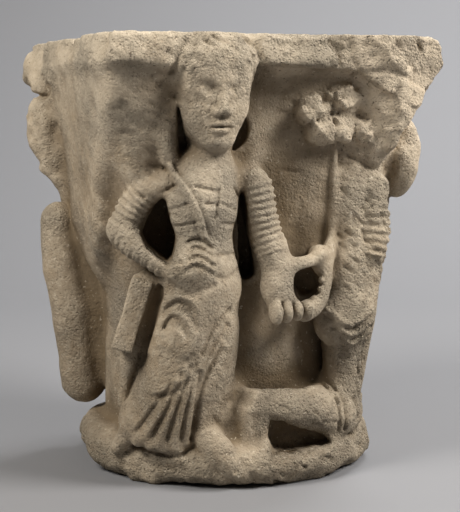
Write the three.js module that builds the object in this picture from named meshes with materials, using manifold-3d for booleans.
// Carved stone capital, one block: a round base ring and bell, a square top, a standing figure
// that holds a flowering staff, and a kneeling winged figure at the right-hand corner.
// Millimetres, +Z up, front towards -Y, origin at the centre of the underside.
import * as THREE from "three";
import { ConvexGeometry } from "three/addons/geometries/ConvexGeometry.js";
import { mergeVertices } from "three/addons/utils/BufferGeometryUtils.js";
import Module from "manifold-3d";

const wasm = await Module();
wasm.setup();

// Driving dimensions of the block
const HEIGHT = 364;
const TOP_HALF = 140; // half the width of the square top
const TOP_BAND = 26; // depth of the plain band under the top
const TOP_CORNER = 9; // rounding of the top's corners, seen from above
const RING_RADIUS = 129;
const RING_HEIGHT = 36;
const RING_SHIFT = [-2, -8]; // the ring stands a little forward of the bell
const BELL_RADIUS = 97; // at the waist of the bell
const FACE_LEAN = 0.065; // how far the left face leans in, per millimetre down
const TONGUE_TOP = 207; // below this the left face narrows to a tongue
const TONGUE_LEAN = 0.22; // and leans in this much more
const FACE_SPLAY = 0.35; // how fast the left face's edges run back into the bell
const BEDDED = 12; // how far one form reaches into the next
const RIB_DEPTH = 1.3; // of the ringed sleeves
const RIB_PITCH = 8.5;

// The two figures: where each stands, and the surface that its front follows
const FIGURE_X = -51; // centre line of the standing figure
const CHEST_Y = -106;
const KNEEL_X = 77; // centre line of the kneeling figure
const KNEEL_Y = -100;

// A closed geometry, its faces turned outwards, as a solid that can be joined and cut
function solid(geometry) {
  const bare = new THREE.BufferGeometry();
  bare.setAttribute("position", geometry.getAttribute("position"));
  bare.setIndex(geometry.index);
  const merged = mergeVertices(bare, 1e-3);
  const points = merged.attributes.position;
  const triangles = new Uint32Array(merged.index.array);
  const [a, b, c] = [new THREE.Vector3(), new THREE.Vector3(), new THREE.Vector3()];
  let volume = 0;
  for (let i = 0; i < triangles.length; i += 3) {
    a.fromBufferAttribute(points, triangles[i]);
    b.fromBufferAttribute(points, triangles[i + 1]);
    c.fromBufferAttribute(points, triangles[i + 2]);
    volume += a.dot(b.cross(c));
  }
  if (volume < 0) triangles.reverse();
  const mesh = new wasm.Mesh({ numProp: 3, vertProperties: points.array, triVerts: triangles });
  return new wasm.Manifold(mesh);
}

// A closed skin over rings of points, each ring with the same count, its ends capped
function loft(rings) {
  const count = rings[0].length;
  const points = rings.flat();
  const middle = (ring) => ring.reduce((sum, p) => sum.add(p), new THREE.Vector3()).divideScalar(count);
  const first = points.push(middle(rings[0])) - 1;
  const last = points.push(middle(rings.at(-1))) - 1;
  const base = (rings.length - 1) * count;
  const faces = [];
  for (let i = 0; i < count; i++) {
    const j = (i + 1) % count;
    faces.push(first, j, i, last, base + i, base + j);
    for (let k = 0; k < base; k += count) {
      faces.push(k + i, k + j, k + count + j, k + i, k + count + j, k + count + i);
    }
  }
  return new THREE.BufferGeometry().setFromPoints(points).setIndex(faces);
}

// A limb or fold: a round-ended tube through stations [x, y, z, radius].
// flat narrows it from front to back, and ribs rings it as a pleated sleeve.
function limb(stations, { sides = 8, steps = 1, flat = 1, ribs = false } = {}) {
  const path = new THREE.CatmullRomCurve3(stations.map(([x, y, z]) => new THREE.Vector3(x, y, z)));
  const spans = stations.length - 1;
  const count = ribs ? Math.round((2 * path.getLength()) / RIB_PITCH) : spans * steps;
  const rings = [];
  const ring = (share, along, scale) => {
    const place = Math.min(share * spans, spans - 1e-6);
    const [from, to] = [stations[Math.floor(place)], stations[Math.floor(place) + 1]];
    const tangent = path.getTangent(share);
    const side = new THREE.Vector3().crossVectors(tangent, new THREE.Vector3(0, 1, 0)).normalize();
    const depth = new THREE.Vector3().crossVectors(side, tangent);
    const plain = THREE.MathUtils.lerp(from[3], to[3], place % 1);
    const radius = plain + (ribs && rings.length % 2 ? RIB_DEPTH : 0);
    const centre = path.getPoint(share).addScaledVector(tangent, along * plain);
    rings.push(
      Array.from({ length: sides }, (_, i) => {
        const angle = (2 * Math.PI * i) / sides;
        return centre
          .clone()
          .addScaledVector(side, radius * scale * Math.cos(angle))
          .addScaledVector(depth, radius * scale * flat * Math.sin(angle));
      }),
    );
  };
  ring(0, -0.85, 0.45);
  for (let i = 0; i <= count; i++) ring(i / count, 0, 1);
  ring(1, 0.85, 0.45);
  return solid(loft(rings));
}

// An egg-shaped lump: centre, half sizes, and a turn in degrees about each axis
function lump(centre, half, { turn = [0, 0, 0], sides = 9, rows = 6 } = {}) {
  const egg = new THREE.SphereGeometry(1, sides, rows).rotateX(Math.PI / 2).scale(...half);
  const [x, y, z] = turn.map(THREE.MathUtils.degToRad);
  egg.applyMatrix4(new THREE.Matrix4().makeRotationFromEuler(new THREE.Euler(x, y, z)));
  return solid(egg.translate(...centre));
}

// A block with square edges, for drapery ends and for breaks
function block(centre, size, turn = [0, 0, 0]) {
  const box = new THREE.BoxGeometry(...size);
  const [x, y, z] = turn.map(THREE.MathUtils.degToRad);
  box.applyMatrix4(new THREE.Matrix4().makeRotationFromEuler(new THREE.Euler(x, y, z)));
  return solid(box.translate(...centre));
}

// A broken mass with flat facets, drawn tight round its corners
function rock(corners) {
  return solid(new ConvexGeometry(corners.map(([x, y, z]) => new THREE.Vector3(x, y, z))));
}

const join = (pieces) => pieces.reduce((all, piece) => all.add(piece));

// The base ring, turned
function ring() {
  const profile = [
    [0, 0],
    [RING_RADIUS - 9, 0],
    [RING_RADIUS - 2, 6],
    [RING_RADIUS, 14],
    [RING_RADIUS - 4, 24],
    [RING_RADIUS - 13, RING_HEIGHT - 4],
    [RING_RADIUS - 30, RING_HEIGHT],
    [0, RING_HEIGHT],
  ];
  const turned = new THREE.LatheGeometry(profile.map(([r, z]) => new THREE.Vector2(r, z)), 32);
  return solid(turned.rotateX(Math.PI / 2).translate(...RING_SHIFT, 0));
}

// The bell: round at the foot and square under the top. Each level gives how far it reaches to the
// left, right, front and back, and how square its left-hand front corner and its other corners are.
function bell() {
  const levels = [
    { z: RING_HEIGHT - BEDDED, reach: [106, 104, 104, 104], square: [2, 2] },
    { z: 62, reach: [105, 98, 98, 99], square: [2, 2] },
    { z: 120, reach: [104, BELL_RADIUS, BELL_RADIUS, 98], square: [2.2, 2] },
    { z: 160, reach: [107, 98, BELL_RADIUS, 104], square: [2.8, 2.4] },
    { z: 200, reach: [114, 102, BELL_RADIUS, 113], square: [3.6, 3] },
    { z: 240, reach: [122, 108, 99, 121], square: [5, 4] },
    { z: 280, reach: [129, 117, 104, 128], square: [7, 6] },
    { z: 312, reach: [133, 125, 110, 132], square: [10, 8] },
    { z: HEIGHT - BEDDED, reach: [137, 130, 118, 134], square: [14, 10] },
  ];
  const sides = 24;
  const rings = levels.map(({ z, reach: [left, right, front, back], square: [leftFront, others] }) =>
    Array.from({ length: sides }, (_, i) => {
      const angle = (2 * Math.PI * i) / sides;
      const [across, deep] = [Math.cos(angle), Math.sin(angle)];
      const power = across < 0 && deep < 0 ? leftFront : others;
      const wide = Math.abs(across) / (across < 0 ? left : right);
      const long = Math.abs(deep) / (deep < 0 ? front : back);
      const radius = (wide ** power + long ** power) ** (-1 / power);
      return new THREE.Vector3(radius * across, radius * deep, z);
    }),
  );
  return solid(loft(rings));
}

// The square top with its plain band
function top() {
  const half = TOP_HALF;
  const plan = new THREE.Shape();
  for (const [x, y, angle] of [[1, 1, 0], [-1, 1, 90], [-1, -1, 180], [1, -1, 270]]) {
    const start = THREE.MathUtils.degToRad(angle);
    const inset = half - TOP_CORNER;
    plan.absarc(x * inset, y * inset, TOP_CORNER, start, start + Math.PI / 2);
  }
  const slab = new THREE.ExtrudeGeometry(plan, { depth: TOP_BAND, bevelEnabled: false, curveSegments: 3 });
  return solid(slab.translate(0, 0, HEIGHT - TOP_BAND));
}

// Left face: a plain field that narrows downwards, with a lost head and one long hanging form
function leftFace() {
  const high = HEIGHT - TOP_BAND + BEDDED;
  const outline = [
    [-TOP_HALF + 2, high],
    [-123, 312],
    [-98, 281],
    [-59, 232],
    [-53, TONGUE_TOP],
    [-32, 183],
    [5, 158],
    [14, 150],
    [22, 157],
    [34, 172],
    [38, 197],
    [66, 226],
    [74, 254],
    [92, 288],
    [TOP_HALF - 12, high],
  ];
  const rings = [0, 1].map((inner) =>
    outline.map(([along, z]) => {
      const tongue = TONGUE_LEAN * Math.max(0, TONGUE_TOP - z);
      const reach = TOP_HALF - 1 - FACE_LEAN * (HEIGHT - z) - tongue;
      const depth = inner * 0.6 * reach;
      return new THREE.Vector3(depth - reach, along - Math.sign(along) * FACE_SPLAY * depth, z);
    }),
  );
  return join([
    solid(loft(rings)),
    limb(
      [[-136, 52, 208, 17], [-132, 52, 176, 20], [-123, 54, 125, 21], [-115, 56, 60, 20]],
      { sides: 10, steps: 2 },
    ),
    limb([[-116, 44, 196, 14], [-102, 46, 125, 16], [-94, 48, 70, 15]]),
    lump([-141, 84, 289], [18, 24, 28]),
    lump([-137, 118, 338], [13, 22, 19]),
  ]);
}

// The swell that carries the front field up to the band, left of the standing figure's head
function frontSwell() {
  return limb([[-112, -104, 346, 28], [-106, -96, 300, 21], [-100, -88, 262, 15]], { sides: 8 });
}

// Right face and back, out of the photographed view: a worn head and body, and plain hanging forms
function plainFaces() {
  return join([
    lump([134, -70, 266], [19, 26, 37], { sides: 8, rows: 5 }),
    limb([[120, -66, 312, 22], [108, -70, 270, 20], [98, -80, 236, 16]], { sides: 6 }),
    limb([[116, -50, 225, 20], [103, -44, 150, 22], [94, -40, 62, 18]], { sides: 8 }),
    limb([[112, 62, 212, 15], [104, 56, 140, 17], [96, 52, 70, 16]], { sides: 6 }),
    limb([[0, 124, 216, 17], [0, 114, 140, 20], [0, 106, 66, 19]], { sides: 6 }),
  ]);
}

// Right-hand front corner, where a head has broken away above the kneeling figure
function brokenCorner() {
  const under = HEIGHT - TOP_BAND;
  const upper = [
    [46, -134, under + 6],
    [74, -132, under - 6],
    [96, -137, under - 22],
    [130, -128, under - 24],
    [143, -124, under - 8],
    [144, -70, under - 4],
    [60, -70, under + 6],
    [92, -70, under - 40],
  ];
  const lower = [
    [84, -112, under - 14],
    [102, -132, under - 19],
    [140, -110, under - 14],
    [112, -116, under - 52],
    [118, -70, under - 46],
    [86, -98, under - 58],
    [92, -88, under - 104],
    [104, -88, under - 100],
  ];
  const ridge = [
    [46, -128, HEIGHT],
    [98, -139, HEIGHT],
    [140, -126, HEIGHT],
    [140, -60, HEIGHT],
    [46, -60, HEIGHT],
  ];
  return join([rock([...upper, ...ridge]), rock(lower)]);
}

// What has broken off the top's band at that corner: one flake to each side of a ridge
function lostFlakes() {
  const z = HEIGHT - TOP_BAND / 2;
  const size = [58, 40, 2 * TOP_BAND];
  return join([block([72, -152, z], size, [0, 0, -14]), block([132, -150, z], size, [0, 0, 20])]);
}

// Standing figure: head, hair and neck
function standingHead() {
  const x = FIGURE_X + 2;
  return join([
    limb([[x, -115, 336, 33], [x + 1, -117, 308, 29], [x + 4, -121, 284, 19]], { sides: 12 }),
    lump([x, -118, 346], [36, 34, 30], { sides: 12 }),
    limb([[x + 1, -145, 316, 3], [x + 2, -147, 299, 4]], { sides: 6 }),
    limb([[x, -114, 284, 17], [x - 1, -110, 250, 18]], { sides: 10 }),
    limb([[-82, -97, 248, 13], [-50, -102, 250, 15], [-16, -101, 248, 13]]),
    limb([[-72, -104, 338, 13], [-80, -100, 304, 11], [-81, -99, 276, 10], [-76, -106, 256, 8]]),
    limb([[-24, -102, 334, 13], [-13, -98, 300, 11], [-9, -97, 276, 11], [-15, -100, 258, 9]]),
  ]);
}

// Standing figure: trunk with its bound bodice, the slung strap and the gathered belly
function standingTrunk() {
  const x = FIGURE_X;
  const trunk = limb(
    [
      [x - 3, CHEST_Y + 2, 250, 28],
      [x - 5, CHEST_Y, 230, 30],
      [x - 4, CHEST_Y + 2, 203, 26],
      [x - 5, CHEST_Y + 2, 168, 32],
    ],
    { sides: 12, steps: 2, flat: 0.95 },
  );
  const strap = limb(
    [[-80, -114, 264, 5], [-75, -129, 246, 5], [-67, -134, 228, 5], [-59, -131, 208, 4]],
    { sides: 6 },
  );
  const belly = lump([-64, -116, 181], [27, 23, 21], { sides: 12 });
  const folds = [0, 1, 2].map((i) => {
    const z = 197 - 9 * i;
    const swell = 3 * i;
    return limb(
      [[-82, -126 - swell, z - 8, 3.5], [-65, -133 - swell, z, 4], [-48, -129 - swell, z - 7, 3.5]],
      { sides: 6 },
    );
  });
  return join([trunk, strap, belly, ...folds]);
}

// Standing figure: the arm set on the hip, with its hanging sleeve, and the arm that holds the staff
function standingArms() {
  const bent = [
    lump([-88, -92, 248], [18, 19, 15]),
    limb([[-93, -93, 246, 13], [-104, -86, 228, 13], [-115, -80, 209, 12.5]], { ribs: true }),
    limb([[-115, -80, 209, 13], [-102, -100, 194, 12], [-86, -112, 181, 10]], { steps: 2 }),
    limb([[-113, -78, 208, 12], [-100, -56, 206, 16]]),
    lump([-77, -122, 178], [14, 11, 10]),
    block([-99, -82, 140], [15, 30, 60], [12, 16, 20]),
    limb([[-101, -66, 118, 10], [-106, -58, 84, 9], [-110, -56, 50, 9]], { sides: 6 }),
  ];
  const straight = [
    lump([-11, -108, 244], [18, 18, 16]),
    limb([[-10, -112, 243, 14], [-4, -114, 212, 13.5], [4, -119, 178, 12.5]], { ribs: true }),
  ];
  return join([...bent, ...straight]);
}

// The hand on the staff: palm, curled fingers, thumb, and the finger that closes the grip
function holdingHand() {
  const fingers = [0, 1, 2].map((i) =>
    lump([3 + 8.6 * i, -137 + i, 143 + 0.6 * i], [5, 8, 10], { sides: 8, rows: 5 }),
  );
  return join([
    lump([7, -124, 160], [15, 14, 20]),
    ...fingers,
    limb([[4, -127, 175, 7], [22, -128, 176, 5], [38, -126, 178, 5]], { sides: 6 }),
    limb(
      [[40, -124, 178, 5], [42, -123, 161, 5], [34, -125, 148, 5], [24, -128, 142, 6]],
      { sides: 6, steps: 2 },
    ),
  ]);
}

// Standing figure: the skirt over both legs, with folds that fan from the fork to the hem, and the feet
function standingSkirt() {
  const fork = [-66, -116, 108];
  const hems = [[-103, -86, 40], [-94, -92, 36], [-84, -98, 34], [-75, -103, 38]];
  const folds = hems.map(([x, y, z]) => {
    const bow = [(fork[0] + x) / 2 + 3, (fork[1] + y) / 2 - 9, (fork[2] + z) / 2];
    return limb([[...fork, 4], [...bow, 6], [x, y, z, 8]], { sides: 6 });
  });
  return join([
    limb([[-67, -100, 162, 27], [-83, -93, 106, 25], [-100, -76, 52, 19]], { sides: 10, flat: 1.15 }),
    limb(
      [[-44, -102, 162, 21], [-44, -104, 118, 20], [-50, -102, 72, 18], [-55, -98, 48, 17]],
      { sides: 10 },
    ),
    limb([[-56, -98, 156, 29], [-65, -92, 96, 31], [-76, -82, 46, 28]], { sides: 10 }),
    ...folds,
    limb([[-57, -106, 48, 11], [-50, -122, 34, 12], [-42, -129, 22, 11]], { sides: 8 }),
    limb([[-107, -80, 46, 8], [-113, -76, 36, 8], [-117, -70, 28, 7]], { sides: 6 }),
  ]);
}

// The staff against the field, and its flower of five lobes
function floweringStaff() {
  const lobes = [
    { at: [34, 305], half: [10, 10], lean: 0 },
    { at: [66, 313], half: [20, 11], lean: 15 },
    { at: [45, 287], half: [11, 10], lean: -20 },
    { at: [64, 289], half: [10, 9], lean: 0 },
    { at: [80, 288], half: [8, 12], lean: -30 },
  ];
  return join([
    limb(
      [[57, -98, 284, 4], [58, -97, 250, 4], [57, -98, 226, 4.5], [50, -108, 200, 7], [45, -116, 176, 8]],
      { sides: 6 },
    ),
    lump([58, -104, 300], [26, 13, 17]),
    ...lobes.map(({ at: [x, z], half: [wide, tall], lean }) =>
      lump([x, -114, z], [wide, 11, tall], { turn: [0, lean, 0], sides: 8, rows: 5 }),
    ),
  ]);
}

// Kneeling figure: trunk, ringed sleeve, gathered tunic and hips
function kneelingTrunk() {
  const [x, y] = [KNEEL_X, KNEEL_Y];
  const folds = [0, 1, 2].map((i) => {
    const z = 132 - 11 * i;
    return limb(
      [[50 + 5 * i, -112, z + 4, 3.5], [66 + 3 * i, -120 + 3 * i, z - 6, 4.5], [84, -110, z - 2, 3.5]],
      { sides: 6 },
    );
  });
  return join([
    limb([[x + 7, y + 16, 280, 18], [x + 3, y + 6, 240, 19], [x, y, 180, 19], [x - 2, y - 2, 140, 22]]),
    limb([[99, -102, 234, 15], [98, -105, 208, 15], [92, -107, 180, 12]], { ribs: true }),
    limb([[96, -104, 186, 12], [90, -104, 158, 13], [82, -104, 130, 14]]),
    lump([68, -102, 128], [27, 22, 27], { sides: 12 }),
    ...folds,
    limb([[76, -92, 112, 21], [76, -90, 84, 18], [74, -88, 50, 22]], { sides: 12 }),
  ]);
}

// Kneeling figure: the raised knee, its shin and foot
function kneelingLeg() {
  return join([
    limb([[66, -92, 42, 23], [30, -106, 54, 18], [-11, -114, 66, 13]], { sides: 12, steps: 2 }),
    limb([[-14, -112, 64, 13], [-17, -106, 38, 14], [-14, -110, 16, 14]], { sides: 10, flat: 1.2 }),
  ]);
}

// The wing folded down the kneeling figure's back, laid with overlapping feathers
function foldedWing() {
  const wing = [[107, -84, 214, 10], [101, -80, 142, 13], [92, -74, 80, 13], [84, -70, 36, 10]];
  const rows = 5;
  const feathers = Array.from({ length: rows }, (_, i) => {
    const share = i / (rows - 1);
    const x = THREE.MathUtils.lerp(100, 80, share);
    const place = [x, -94 + 6 * share, 142 - 98 * share];
    return lump(place, [7, 4, 16], { turn: [0, -18, 0], sides: 6, rows: 5 });
  });
  return join([limb(wing, { sides: 10 }), ...feathers]);
}

const carved = join([
  ring(),
  bell(),
  top().subtract(lostFlakes()),
  leftFace(),
  frontSwell(),
  plainFaces(),
  brokenCorner(),
  standingHead(),
  standingTrunk(),
  standingArms(),
  holdingHand(),
  standingSkirt(),
  floweringStaff(),
  kneelingTrunk(),
  kneelingLeg(),
  foldedWing(),
]);

// Nothing stands above the top or below the underside
const room = block([0, 0, HEIGHT / 2], [4 * TOP_HALF, 4 * TOP_HALF, HEIGHT]);

// The block is its outer skin: a pocket shut in behind the carving is solid stone
const skins = carved.intersect(room).decompose();
const outer = skins.reduce((widest, skin) => (skin.volume() > widest.volume() ? skin : widest));
const bare = outer.getMesh();
const geometry = new THREE.BufferGeometry();
geometry.setAttribute("position", new THREE.BufferAttribute(bare.vertProperties, 3));
geometry.setIndex(new THREE.BufferAttribute(bare.triVerts, 1));
geometry.computeVertexNormals();

const limestone = new THREE.MeshStandardMaterial({ color: 0xb3a590, roughness: 0.92, metalness: 0 });
const stone = new THREE.Mesh(geometry, limestone);
stone.name = "capital";

const capital = new THREE.Group();
capital.add(stone);
export default capital;
